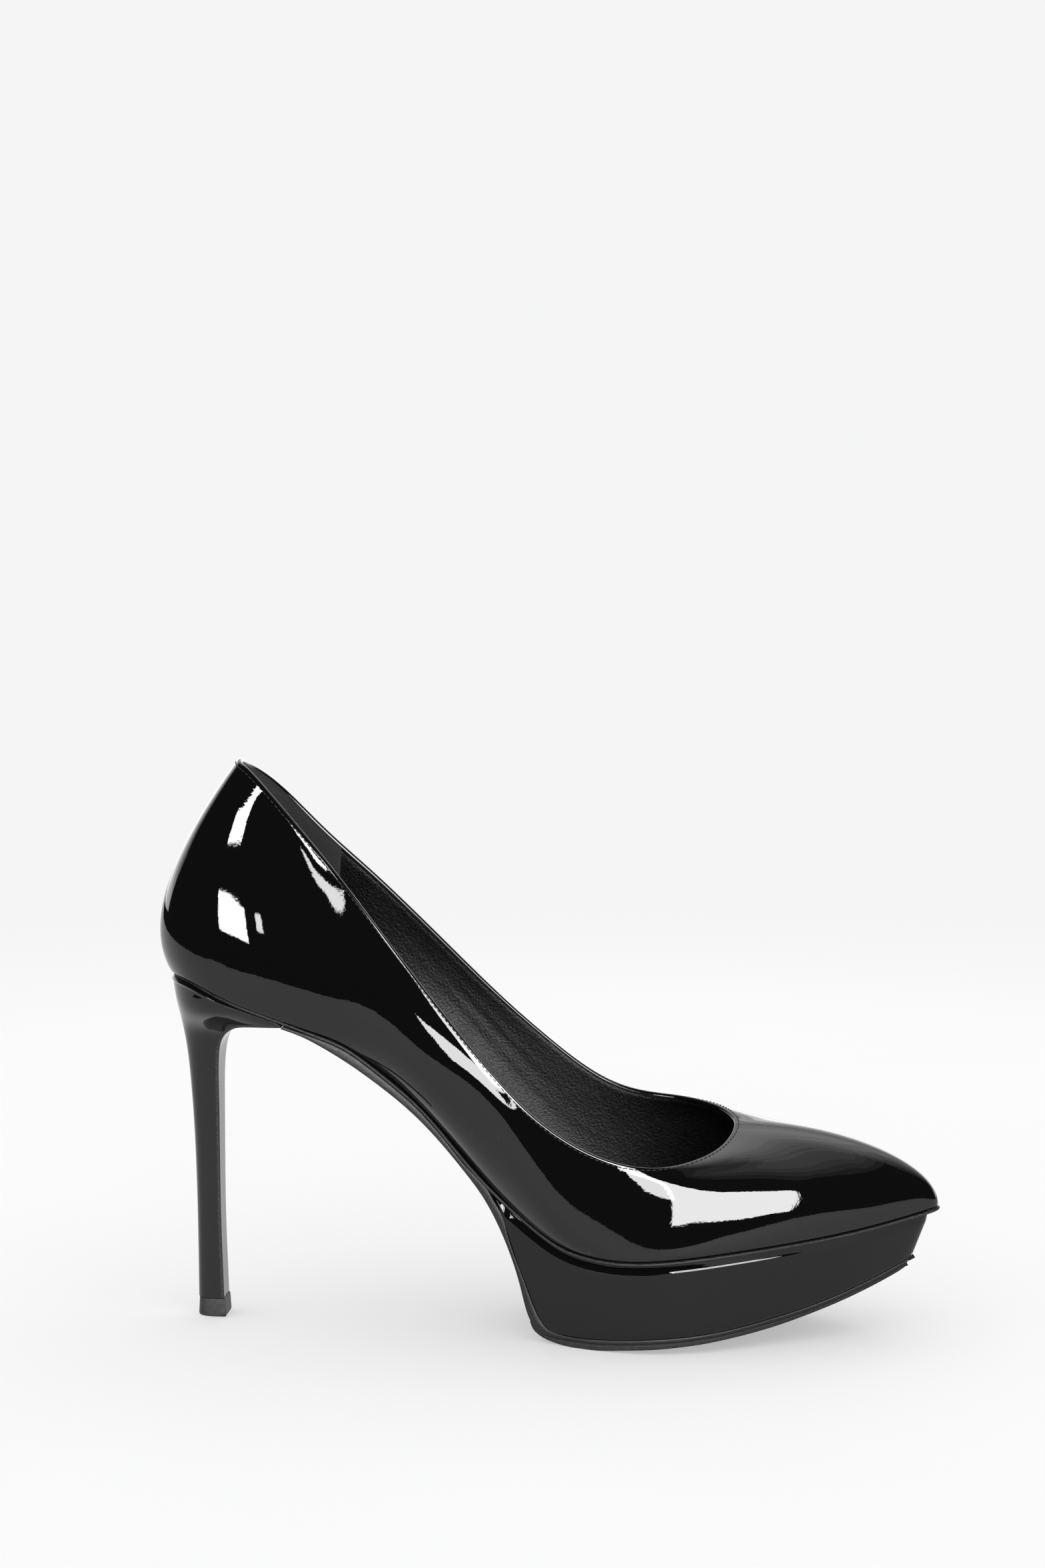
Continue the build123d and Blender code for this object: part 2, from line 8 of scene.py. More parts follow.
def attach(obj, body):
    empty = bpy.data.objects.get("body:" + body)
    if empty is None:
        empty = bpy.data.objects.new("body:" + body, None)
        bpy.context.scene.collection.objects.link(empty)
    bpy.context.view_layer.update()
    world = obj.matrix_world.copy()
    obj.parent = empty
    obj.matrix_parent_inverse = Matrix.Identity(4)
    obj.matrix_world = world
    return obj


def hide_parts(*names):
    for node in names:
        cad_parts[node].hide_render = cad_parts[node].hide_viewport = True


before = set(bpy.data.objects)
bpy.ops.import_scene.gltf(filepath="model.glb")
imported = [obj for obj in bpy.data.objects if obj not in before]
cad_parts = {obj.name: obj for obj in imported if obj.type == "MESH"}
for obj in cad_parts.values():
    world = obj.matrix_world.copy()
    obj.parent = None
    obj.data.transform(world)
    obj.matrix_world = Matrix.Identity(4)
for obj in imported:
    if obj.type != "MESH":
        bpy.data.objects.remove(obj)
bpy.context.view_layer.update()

rng = np.random.default_rng(11)

# ------------------------------------------------------------------ layout, in millimetres
SHIFT = np.array([-115.95, -0.47, 0.0])     # back of the heel to the row's origin
FEATHER = [(3.5, 105.1), (11.4, 104.4), (20.1, 101.1), (30, 97.4), (40, 93.8), (50, 90.2),
           (59.2, 86.1), (66.8, 80.5), (74.5, 74.1), (82.2, 66.8), (90, 57.6), (97.9, 48.6),
           (105.9, 41.2), (113.9, 35.1), (122, 30.5), (130, 28.4), (140, 27.7), (153.2, 28.4),
           (172.1, 30.1), (191, 31.7), (205, 33.3), (219.8, 35.9), (231, 38.2)]
# ribs of the upper: (feather x, y), (top x, y, z), lower handle (fwd, out, up), upper handle (fwd, out, down)
BACK = ((3.5, 0.0), (24.6, 0.0, 168.2), (-10.0, 0.0, 17.0), (-14.6, 0.0, 20.0))
TOE = ((231.0, 0.0), (170.9, 0.3, 61.2), (0.6, 0.0, 13.0), (29.0, 0.0, -1.2))
OUTER = [((5.2, 8.0), (25.7, 6.4, 167.9), (-8.3, 3.1, 17.3), (-13.0, 2.7, 18.3)),
         ((11.5, 17.0), (28.8, 10.9, 166.3), (-4.0, 3.0, 19.2), (-9.0, 4.3, 17.1)),
         ((24.0, 22.6), (36.0, 14.8, 159.7), (-1.0, 4.0, 20.9), (-5.0, 3.5, 17.0)),
         ((40.0, 23.3), (48.0, 18.5, 146.5), (0.0, 7.0, 17.1), (-2.0, 1.0, 17.7)),
         ((60.0, 21.3), (62.0, 21.8, 130.3), (0.0, 7.1, 8.6), (0.0, 3.1, 18.2)),
         ((82.0, 18.9), (79.4, 25.3, 108.7), (0.0, 12.1, 6.5), (1.0, 5.7, 18.9)),
         ((104.0, 21.0), (97.0, 28.9, 87.6), (0.0, 9.1, 7.4), (2.0, 4.4, 13.1)),
         ((122.0, 28.0), (112.0, 30.7, 71.2), (0.0, 7.6, 3.8), (3.0, 0.8, 11.6)),
         ((138.0, 33.8), (126.2, 31.2, 61.0), (0.0, 1.2, 3.8), (3.5, 0.8, 11.1)),
         ((153.0, 35.0), (139.0, 30.9, 55.9), (0.0, 1.2, 4.4), (5.0, 0.8, 7.7)),
         ((168.0, 31.7), (150.5, 28.4, 54.5), (0.5, 1.2, 3.8), (7.5, 4.0, 3.4)),
         ((184.0, 25.2), (159.0, 23.4, 55.2), (1.5, 1.2, 4.6), (11.0, 6.5, 1.5)),
         ((200.0, 17.6), (165.5, 16.4, 56.8), (2.0, 1.7, 7.8), (17.0, 7.9, 0.5)),
         ((214.0, 11.0), (168.9, 9.8, 58.6), (2.3, 1.3, 10.3), (23.0, 6.2, -0.1)),
         ((225.0, 5.4), (170.4, 4.8, 60.1), (1.8, 1.2, 12.9), (27.5, 3.3, -0.7))]
INNER = [((5.2, 8.0), (25.5, 5.6, 166.4), (-8.3, 2.7, 17.5), (-13.0, 1.4, 19.7)),
         ((11.5, 16.7), (28.3, 10.8, 163.9), (-4.0, 3.8, 17.2), (-9.0, 3.3, 20.2)),
         ((24.0, 21.8), (36.0, 16.1, 156.8), (-1.0, 4.5, 15.6), (-5.0, 4.5, 20.0)),
         ((40.0, 22.0), (48.0, 19.5, 144.2), (0.0, 7.2, 12.0), (-2.0, 4.6, 19.5)),
         ((60.0, 19.4), (62.0, 22.5, 130.9), (0.0, 10.0, 8.0), (0.0, 4.8, 19.0)),
         ((82.0, 16.8), (79.4, 26.0, 113.4), (0.0, 12.0, 8.0), (1.0, 6.0, 19.0)),
         ((104.0, 19.2), (97.0, 29.4, 95.3), (0.0, 12.0, 8.0), (2.0, 4.0, 17.5)),
         ((122.0, 26.6), (112.0, 31.5, 81.4), (0.0, 9.0, 7.0), (3.0, 1.4, 16.0)),
         ((138.0, 33.4), (126.2, 32.8, 70.4), (0.0, 3.5, 7.0), (3.5, 1.2, 13.5)),
         ((153.0, 36.3), (139.0, 32.6, 64.9), (0.0, 2.2, 7.0), (5.0, 1.2, 10.5)),
         ((168.0, 35.2), (150.5, 30.0, 63.8), (0.5, 2.0, 7.5), (7.5, 2.5, 7.0)),
         ((184.0, 30.0), (159.2, 24.8, 63.4), (1.0, 1.8, 9.0), (12.0, 3.4, 4.8)),
         ((200.0, 22.0), (165.6, 17.2, 62.9), (2.0, 2.6, 11.0), (18.0, 4.3, 3.3)),
         ((214.0, 14.0), (169.0, 10.2, 62.3), (2.3, 2.7, 12.6), (24.0, 3.6, 1.6)),
         ((225.0, 7.0), (170.4, 5.2, 61.7), (1.8, 2.7, 14.5), (28.0, 2.1, -0.1))]
# side profiles as (x, z): lower edge of the platform, sole, half sole, breast of the heel
PLATFORM_LOW = [(102.3, 42.5), (103.8, 39.1), (106.2, 31.8), (109.0, 23.5), (111.8, 16.5),
                (113.8, 11.4), (115.8, 7.2), (118.2, 4.6), (122, 3.5), (134, 3.5), (143.7, 4.2),
                (153.3, 4.9), (162.8, 5.6), (172.2, 6.7), (181.7, 8.4), (191.2, 10.5),
                (200.7, 13.3), (210.3, 16.9), (218, 20.3), (226, 24.6), (236, 30.5)]
WAIST_BASE = [(40, 91.4), (46.6, 88.9), (50.4, 86.9), (54.3, 84.6), (61.9, 79.5), (69.6, 73.6),
              (77.3, 67.0), (85.1, 59.0), (92.9, 49.8), (98.9, 41.9), (103, 34.6), (106.9, 25.4),
              (109.6, 17.0), (111.3, 10.4), (112.7, 6.6), (115.2, 3.6), (119, 2.3), (124, 2.0),
              (134, 2.1), (143.7, 2.85), (153.3, 3.55), (162.8, 4.3), (172.2, 5.4), (181.7, 7.1),
              (191.2, 9.1), (200.7, 11.9), (210.3, 15.5), (218, 18.9), (226, 23.2)]
TREAD_BASE = [(112.8, 6.0), (113.6, 3.9), (115.6, 2.1), (119.0, 0.8), (124.0, 0.0), (134, 0),
              (141, 0.7), (148.7, 1.3), (156.4, 2.0), (163.9, 2.7), (171.5, 3.7), (179, 4.9),
              (186.6, 6.5), (194.2, 8.6), (201.9, 11.1), (209.6, 14.0), (217.3, 17.4), (226, 21.9)]
BREAST = [(39.9, 91.4), (32.7, 90.7), (28.7, 90.3), (24.7, 89.4), (22.7, 88.2), (21.0, 86.7),
          (19.8, 84.9), (19.0, 82.7), (18.6, 80.3), (18.3, 76.2), (18.2, 66.0), (18.2, 46.0),
          (18.4, 25.6), (18.7, 15.4), (19.0, 5.6)]
# the heel by height: z, x of its back, depth of the rounded back, half width there, half width in front
HORN = [(107, 3.7, 20, 22.3, 22.7), (101, 4.5, 20, 22.0, 22.5), (97, 5.2, 17, 21.2, 22.7),
        (94, 5.8, 15, 18.8, 22.8), (91, 6.3, 12.5, 14.0, 22.6), (88, 6.8, 10, 9.9, 14.5),
        (84, 7.5, 8, 7.6, 8.6), (78, 8.3, 6.5, 6.1, 6.2), (70, 9.0, 5.6, 5.2, 5.2),
        (58, 9.75, 5.0, 4.7, 4.7), (40, 10.35, 4.6, 4.4, 4.4), (20, 10.6, 4.4, 4.25, 4.25),
        (5.6, 10.65, 4.4, 4.3, 4.3)]
TIP_H = 5.5                                    # height of the top piece
SOLE_TOP = -1.27                               # top of the sole and platform, from the feather line


# ------------------------------------------------------------------ curves
def cubic(points):
    """Natural cubic through (x, y) points, for arrays."""
    xs, ys = (np.array(c, float) for c in zip(*points))
    n, h = len(xs), np.diff(xs)
    a, b = np.eye(n), np.zeros(n)
    for i in range(1, n - 1):
        a[i, i - 1:i + 2] = h[i - 1], 2 * (h[i - 1] + h[i]), h[i]
        b[i] = 6 * ((ys[i + 1] - ys[i]) / h[i] - (ys[i] - ys[i - 1]) / h[i - 1])
    m = np.linalg.solve(a, b)

    def curve(x):
        x = np.asarray(x, float)
        i = np.clip(np.searchsorted(xs, x) - 1, 0, n - 2)
        d = xs[i + 1] - xs[i]
        p, q = (xs[i + 1] - x) / d, (x - xs[i]) / d
        return p * ys[i] + q * ys[i + 1] + ((p**3 - p) * m[i] + (q**3 - q) * m[i + 1]) * d * d / 6
    return curve


def path_curve(points, n):
    """n points evenly along a smooth curve through 2-D points."""
    p = np.array(points, float)
    s = np.concatenate([[0], np.cumsum(np.linalg.norm(np.diff(p, axis=0), axis=1))])
    fx, fy = cubic(list(zip(s, p[:, 0]))), cubic(list(zip(s, p[:, 1])))
    t = np.linspace(0, s[-1], n)
    return np.stack([fx(t), fy(t)], 1)


feather_z = cubic(FEATHER)


def level(x, n):
    """Height at x of the line n millimetres above the feather line."""
    slope = feather_z(np.asarray(x) + 0.5) - feather_z(np.asarray(x) - 0.5)
    return feather_z(x) + n * np.sqrt(1 + slope * slope)


def blend(a, b, x):
    """Smooth step from 0 at a to 1 at b."""
    t = np.clip((np.asarray(x, float) - a) / (b - a), 0, 1)
    return t * t * (3 - 2 * t)


def rib_handles(rib, side):
    """The four Bezier points of a rib, from the feather line to the top line."""
    (fx, fy), (tx, ty, tz), low, high = rib
    f = np.array([fx, side * fy, float(feather_z(fx))])
    t = np.array([tx, side * ty, tz])
    return [f, f + np.array([low[0], side * low[1], low[2]]),
            t + np.array([high[0], side * high[1], -high[2]]), t]


RIBS = np.array([rib_handles(BACK, 1)] + [rib_handles(r, -1) for r in OUTER]
                + [rib_handles(TOE, 1)] + [rib_handles(r, 1) for r in reversed(INNER)])
COUNT = len(RIBS)
# control points of the closed spline round the shoe that passes through every rib
RING = np.linalg.solve((4 * np.eye(COUNT) + np.roll(np.eye(COUNT), 1, 0)
                        + np.roll(np.eye(COUNT), -1, 0)) / 6,
                       RIBS.reshape(COUNT, -1)).reshape(COUNT, 4, 3)


def on_upper(u, v):
    """Points of the upper's outer face. u: round from the back seam, v: feather line to top line."""
    u, v = np.broadcast_arrays(np.asarray(u, float), np.asarray(v, float))
    t = (u % 1.0) * COUNT
    i = np.floor(t).astype(int)
    f = t - i
    w = [(1 - f)**3 / 6, (3 * f**3 - 6 * f**2 + 4) / 6, (-3 * f**3 + 3 * f**2 + 3 * f + 1) / 6, f**3 / 6]
    c = sum(w[k][..., None, None] * RING[(i + k - 1) % COUNT] for k in range(4))
    b = [(1 - v)**3, 3 * v * (1 - v)**2, 3 * v * v * (1 - v), v**3]
    return sum(b[k][..., None] * c[..., k, :] for k in range(4))


def inward(u, v):
    """Unit normals of the upper, into the shoe."""
    e = 1e-3
    du = on_upper(np.asarray(u) + e, v) - on_upper(np.asarray(u) - e, v)
    dv = on_upper(u, np.minimum(np.asarray(v) + e, 1)) - on_upper(u, np.maximum(np.asarray(v) - e, 0))
    n = np.cross(dv, du)
    return n / np.linalg.norm(n, axis=-1, keepdims=True)


def flat_inward(u):
    """Unit normals of the feather line's plan outline, into the shoe."""
    d = on_upper(np.asarray(u) + 1e-3, 0) - on_upper(np.asarray(u) - 1e-3, 0)
    n = np.stack([-d[..., 1], d[..., 0]], -1)
    return n / np.linalg.norm(n, axis=-1, keepdims=True)


def outline(u, inset):
    """Plan outline of the feather line at u, moved in by inset."""
    return on_upper(u, 0)[..., :2] + np.asarray(inset, float)[..., None] * flat_inward(u)


# ------------------------------------------------------------------ mesh helpers
def grid_faces(nu, nv, close=False):
    i, j = np.meshgrid(np.arange(nu if close else nu - 1), np.arange(nv - 1), indexing="ij")
    a, b = i * nv + j, ((i + 1) % nu) * nv + j
    return np.stack([a, b, b + 1, a + 1], -1).reshape(-1, 4).tolist()


def sheet_faces(nu, nv, loop=False):
    """Faces of a row of closed sections, with end caps unless the row is a loop itself."""
    count = nu if loop else nu - 1
    faces = grid_faces(nu, nv, loop)
    for i in range(count):
        j = (i + 1) % nu
        faces.append((i * nv + nv - 1, j * nv + nv - 1, j * nv, i * nv))
    return faces if loop else faces + [list(range(nv)), list(range((nu - 1) * nv, nu * nv))[::-1]]


def tube_faces(nu, nv):
    """Faces round a row of nu rings of nv points each, with end caps."""
    faces = []
    for i in range(nu - 1):
        for j in range(nv):
            a, b = i * nv + j, i * nv + (j + 1) % nv
            faces.append((a, a + nv, b + nv, b))
    return faces + [list(range(nv)), list(range((nu - 1) * nv, nu * nv))[::-1]]


def at_level(xy, n):
    """Plan points lifted to n above the feather line."""
    return np.stack([xy[..., 0], xy[..., 1], level(xy[..., 0], n)], -1)


def make(name, points, faces, material, stands_for=None):
    """A piece from points in heel-back millimetres."""
    mesh = bpy.data.meshes.new(name)
    mesh.from_pydata(((np.asarray(points, float).reshape(-1, 3) + SHIFT) / 1000).tolist(), [], faces)
    mesh.validate()
    bm = bmesh.new()
    bm.from_mesh(mesh)
    bmesh.ops.recalc_face_normals(bm, faces=bm.faces)
    bm.to_mesh(mesh)
    bm.free()
    mesh.polygons.foreach_set("use_smooth", [len(f.vertices) < 5 for f in mesh.polygons])    # flat end caps
    obj = bpy.data.objects.new(name, mesh)
    bpy.context.scene.collection.objects.link(obj)
    mesh.materials.append(material)
    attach(obj, "root")
    if stands_for:
        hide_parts(stands_for)
    return obj


# ------------------------------------------------------------------ materials
def new_material(name):
    m = bpy.data.materials.new(name)
    m.use_nodes = True
    nt = m.node_tree
    return m, nt, nt.nodes["Principled BSDF"]


def node(nt, kind, **values):
    """A shader node with inputs, or else properties, set by name."""
    n = nt.nodes.new(kind)
    for key, value in values.items():
        if key in n.inputs:
            n.inputs[key].default_value = value
        else:
            setattr(n, key, value)
    return n


def noise(nt, scale, detail=4.0, rough=0.55, stretch=None):
    co = nt.nodes.new("ShaderNodeTexCoord")
    n = node(nt, "ShaderNodeTexNoise", Scale=scale, Detail=detail, Roughness=rough)
    if stretch:
        mp = nt.nodes.new("ShaderNodeMapping")
        mp.inputs["Scale"].default_value = stretch
        nt.links.new(co.outputs["Object"], mp.inputs["Vector"])
        nt.links.new(mp.outputs["Vector"], n.inputs["Vector"])
    else:
        nt.links.new(co.outputs["Object"], n.inputs["Vector"])
    return n.outputs["Fac"]


def voronoi(nt, scale, feature="F1"):
    co = nt.nodes.new("ShaderNodeTexCoord")
    n = node(nt, "ShaderNodeTexVoronoi", Scale=scale)
    n.feature = feature
    nt.links.new(co.outputs["Object"], n.inputs["Vector"])
    return n.outputs["Distance"]


def ramp(nt, source, stops):
    r = nt.nodes.new("ShaderNodeValToRGB")
    els = r.color_ramp.elements
    while len(els) < len(stops):
        els.new(0.5)
    for e, (pos, col) in zip(els, stops):
        e.position = pos
        e.color = (*col, 1) if isinstance(col, tuple) else (col, col, col, 1)
    nt.links.new(source, r.inputs["Fac"])
    return r.outputs["Color"]


def math_node(nt, op, a, b):
    n = nt.nodes.new("ShaderNodeMath")
    n.operation = op
    for i, v in enumerate((a, b)):
        if isinstance(v, (int, float)):
            n.inputs[i].default_value = v
        else:
            nt.links.new(v, n.inputs[i])
    return n.outputs[0]


def bump(nt, height, distance, strength=1.0, after=None):
    b = node(nt, "ShaderNodeBump", Strength=strength, Distance=distance)
    nt.links.new(height, b.inputs["Height"])
    if after is not None:
        nt.links.new(after, b.inputs["Normal"])
    return b.outputs["Normal"]


def patent(name, wave=1.0, dust=1.0, ior=1.47):
    """Black lacquered leather: mirror-like coat, faint waviness, pores and dust."""
    m, nt, p = new_material(name)
    p.inputs["Coat Weight"].default_value = 1.0
    p.inputs["Coat Roughness"].default_value = 0.012
    p.inputs["Coat IOR"].default_value = ior
    p.inputs["Specular IOR Level"].default_value = 0.0
    specks = ramp(nt, voronoi(nt, 260), [(0.0, 1.0), (0.035 * dust, 0.0)])
    patches = ramp(nt, noise(nt, 34, 5), [(0.52, 0.0), (0.66, 1.0)])
    dots = math_node(nt, "MULTIPLY", specks, patches)
    base = nt.nodes.new("ShaderNodeMixRGB")
    base.inputs[1].default_value = (0.0042, 0.0041, 0.0044, 1)
    base.inputs[2].default_value = (0.5, 0.5, 0.49, 1)
    nt.links.new(dots, base.inputs[0])
    nt.links.new(base.outputs[0], p.inputs["Base Color"])
    rough = ramp(nt, noise(nt, 90, 6), [(0.35, 0.22), (0.75, 0.4)])
    nt.links.new(rough, p.inputs["Roughness"])
    n1 = bump(nt, noise(nt, 55, 2), 0.00010 * wave)
    n2 = bump(nt, noise(nt, 900, 3), 0.000006 * wave, after=n1)
    nt.links.new(n2, p.inputs["Coat Normal"])
    nt.links.new(n2, p.inputs["Normal"])
    return m


def grained(name, colour, rough, cell, depth, sheen=0.0, vary=0.5, specular=0.5):
    """Pebbled leather."""
    m, nt, p = new_material(name)
    cells = voronoi(nt, cell, "SMOOTH_F1")
    fine = noise(nt, cell * 2.2, 3)
    height = math_node(nt, "ADD", cells, math_node(nt, "MULTIPLY", fine, 0.5))
    lo = tuple(c * (1 - vary * 0.5) for c in colour)
    hi = tuple(min(1, c * (1 + vary)) for c in colour)
    nt.links.new(ramp(nt, noise(nt, 40, 5), [(0.3, lo), (0.7, hi)]), p.inputs["Base Color"])
    cloudy = math_node(nt, "MULTIPLY", noise(nt, 60, 4), 0.4)
    worn = math_node(nt, "ADD", math_node(nt, "MULTIPLY", cells, 0.6), cloudy)
    nt.links.new(ramp(nt, worn, [(0.2, rough - 0.1), (0.7, rough + 0.12)]), p.inputs["Roughness"])
    n1 = bump(nt, noise(nt, 70, 3), 0.0003)
    nt.links.new(bump(nt, height, depth, after=n1), p.inputs["Normal"])
    p.inputs["Specular IOR Level"].default_value = specular
    if sheen:
        p.inputs["Sheen Weight"].default_value = sheen
        p.inputs["Sheen Roughness"].default_value = 0.5
    return m


def plain(name, colour, rough, scale, depth, metal=0.0, vary=0.3, stretch=None):
    """Boards, soles, foam, metal and plastic: mottled colour, roughness and grain."""
    m, nt, p = new_material(name)
    n = noise(nt, scale, 6, 0.6, stretch)
    lo = tuple(c * (1 - vary) for c in colour)
    hi = tuple(min(1, c * (1 + vary)) for c in colour)
    nt.links.new(ramp(nt, n, [(0.3, lo), (0.7, hi)]), p.inputs["Base Color"])
    nt.links.new(ramp(nt, n, [(0.2, max(0, rough - 0.08)), (0.8, min(1, rough + 0.1))]),
                 p.inputs["Roughness"])
    nt.links.new(bump(nt, noise(nt, scale * 3, 4, 0.6, stretch), depth), p.inputs["Normal"])
    p.inputs["Metallic"].default_value = metal
    if not metal:
        p.inputs["Specular IOR Level"].default_value = 0.3
    return m


PATENT = patent("patent_upper")
PATENT_BOTTOM = patent("patent_platform", wave=0.6, dust=0.7, ior=1.39)
PATENT_HEEL = patent("patent_heel", wave=0.6, dust=0.7)
LINING = grained("lining_leather", (0.002, 0.002, 0.0023), 0.45, 1600, 0.00012, vary=0.35, specular=0.19)
SUEDE = grained("suede", (0.012, 0.012, 0.0135), 0.92, 3200, 0.00008, sheen=0.15, vary=0.7)
EDGE = plain("edge_leather", (0.010, 0.0095, 0.009), 0.55, 900, 0.00012, vary=0.9)
SOLE = plain("sole_leather", (0.009, 0.0085, 0.008), 0.5, 500, 0.00008, vary=0.6)
RAW = plain("raw_edge", (0.035, 0.03, 0.025), 0.75, 1600, 0.0002, vary=0.95)
RUBBER = plain("sole_rubber", (0.014, 0.0125, 0.011), 0.75, 900, 0.00015, vary=0.9)
TIP = plain("tip_plastic", (0.03, 0.03, 0.031), 0.5, 800, 0.00005, vary=0.5)
THREAD = plain("thread", (0.012, 0.012, 0.012), 0.5, 5000, 0.00005, vary=0.5)

# ------------------------------------------------------------------ upper
NU = 768
U = np.arange(NU) / NU
FOLD_R = 0.85                                  # half the thickness of the folded top edge


def per_mm(u, v0, v1):
    """Length of the wall, in mm, per unit of v between v0 and v1."""
    return np.linalg.norm(on_upper(u, v1) - on_upper(u, v0), axis=-1) / (v1 - v0)


def upper_points(u):
    """Section of the folded upper at each u, from the turned-in foot to the turned-in top."""
    rows = []
    margin = 4.5 - 1.5 * blend(190, 226, on_upper(u, 0)[..., 0])
    for lift, k in ((1.0, 1.0), (0.0, 1.0), (0.0, 0.75), (0.0, 0.5), (0.0, 0.32)):
        rows.append(at_level(outline(u, margin * k), lift))
    foot = 1.0 / per_mm(u, 0, 0.02)            # v at 1 mm up the wall
    for t in np.linspace(0.15, 1.0, 6):        # rounded lower edge
        w = t * t
        low = at_level(outline(u, 1.1 * (1 - t)**2), 0.0)
        rows.append(low * (1 - w) + on_upper(u, foot * w) * w)
    run = per_mm(u, 0.97, 1)
    v_end = 1 - FOLD_R / run
    for t in np.linspace(0, 1, 74)[1:]:
        rows.append(on_upper(u, foot + (v_end - foot) * t**0.92))
    n_end = inward(u, v_end)
    up = on_upper(u, 1) - on_upper(u, 0.985)
    up /= np.linalg.norm(up, axis=-1, keepdims=True)
    centre = on_upper(u, v_end) + FOLD_R * n_end
    for a in np.linspace(0, math.pi, 9)[1:]:   # half circle over the fold
        rows.append(centre - FOLD_R * math.cos(a) * n_end + FOLD_R * math.sin(a) * up)
    for drop in (2.5, 6.0):                    # turned-in leather
        v = v_end - drop / run
        rows.append(on_upper(u, v) + 2 * FOLD_R * inward(u, v))
    return np.stack(rows, 1)


pts = upper_points(U)
make("upper_leather", pts, grid_faces(NU, pts.shape[1], True), PATENT, "upper")


# ------------------------------------------------------------------ linings
LINING_FACE = 2.4                              # outer face of the shoe to the face of the lining
LINING_BACK = 1.75                             # outer face of the shoe to the back of the lining
LINING_FOOT = 0.04                             # v of the lining's lower edge


def lining(name, u0, u1, node_name, material, nu=200, wrinkle=None, tuck=0.0):
    """A lining sheet between two places round the shoe, its ends tucked under the next one."""
    u = np.linspace(u0, u1, nu)
    rows = []
    run = per_mm(u, 0.97, 1)
    v1 = 1 - 0.9 / run
    ends = 1 - blend(0, 0.012, u - u0) * blend(0, 0.012, u1 - u)
    for t in np.linspace(0, 1, 60):
        v = LINING_FOOT + (v1 - LINING_FOOT) * t
        d = LINING_FACE - 0.35 * blend(0.97, 1.0, t) - tuck * ends
        if wrinkle is not None:
            d = d + wrinkle(u, v)
        rows.append(on_upper(u, v) + (d * np.ones_like(u))[:, None] * inward(u, v))
    for k in (0.35, 0.0):
        v = v1 + 0.05 / run
        rows.append(on_upper(u, v) + (LINING_BACK + k) * inward(u, v))
    for t in np.linspace(1, 0, 8):
        v = LINING_FOOT + (v1 - LINING_FOOT) * t
        rows.append(on_upper(u, v) + LINING_BACK * inward(u, v))
    p = np.stack(rows, 1)
    make(name, p, sheet_faces(*p.shape[:2]), material, node_name)


def creases(u, v):
    """Soft creases that run nearly along the inner top line at the waist."""
    d = 0
    for rib, height, width, lift in ((25.0, 0.80, 0.030, 0.10), (25.3, 0.70, 0.035, 0.13),
                                     (24.7, 0.63, 0.028, 0.08)):
        along = u * COUNT - rib
        d = d + lift * np.exp(-((v - height - 0.05 * along) / width)**2) * np.exp(-(along / 0.9)**2)
    return d


S = 1.0 / COUNT                                # one rib, in u
lining("heel_grip_suede", -4.3 * S, 4.3 * S, "heel_grip", SUEDE)
lining("quarter_lining_outer", 4.2 * S, 9.25 * S, "quarter_lining_lateral", LINING,
       tuck=0.12)
lining("vamp_lining_leather", 8.99 * S, 23.01 * S, "vamp_lining", LINING,
       nu=420, tuck=0.06)
lining("quarter_lining_inner", 22.75 * S, 27.8 * S, "quarter_lining_medial", LINING,
       wrinkle=creases, tuck=0.12)


# ------------------------------------------------------------------ topline stitches
STITCH_EDGE, STITCH_PITCH, STITCH_LENGTH, THREAD_R = 1.55, 1.7, 1.25, 0.15


def stitches():
    """Separate arched stitches along the top line."""
    u = np.linspace(0.003, 0.997, 4000)
    v = 1 - STITCH_EDGE / per_mm(u, 0.97, 1)
    path, inn = on_upper(u, v), inward(u, v)
    s = np.concatenate([[0], np.cumsum(np.linalg.norm(np.diff(path, axis=0), axis=1))])

    def at(q, rows):
        return np.array([np.interp(q, s, rows[:, i]) for i in range(3)])

    verts, faces = [], []
    ring, steps = 8, 7
    for start in np.arange(0.3, s[-1] - STITCH_PITCH, STITCH_PITCH):
        length = STITCH_LENGTH + rng.uniform(-0.06, 0.06)
        base = len(verts)
        for k in np.linspace(0, 1, steps):
            q = start + k * length
            n = at(q, inn)
            a, b = at(q - 0.05, path), at(q + 0.05, path)
            side = np.cross(n, (b - a) / np.linalg.norm(b - a))
            arch = math.sin(math.pi * min(max(k, 0.04), 0.96))**0.5
            c = at(q, path) - n * (0.17 * arch - 0.08)
            r = THREAD_R * (0.55 + 0.45 * arch)
            for j in range(ring):
                ang = 2 * math.pi * j / ring
                verts.append(c + r * (math.cos(ang) * n + math.sin(ang) * side))
        for i in range(steps - 1):
            for j in range(ring):
                a0, a1 = base + i * ring + j, base + i * ring + (j + 1) % ring
                faces.append((a0, a1, a1 + ring, a0 + ring))
        faces.append([base + j for j in range(ring)][::-1])
        faces.append([base + (steps - 1) * ring + j for j in range(ring)])
    make("topline_stitches", verts, faces, THREAD, "topline_stitching")


stitches()


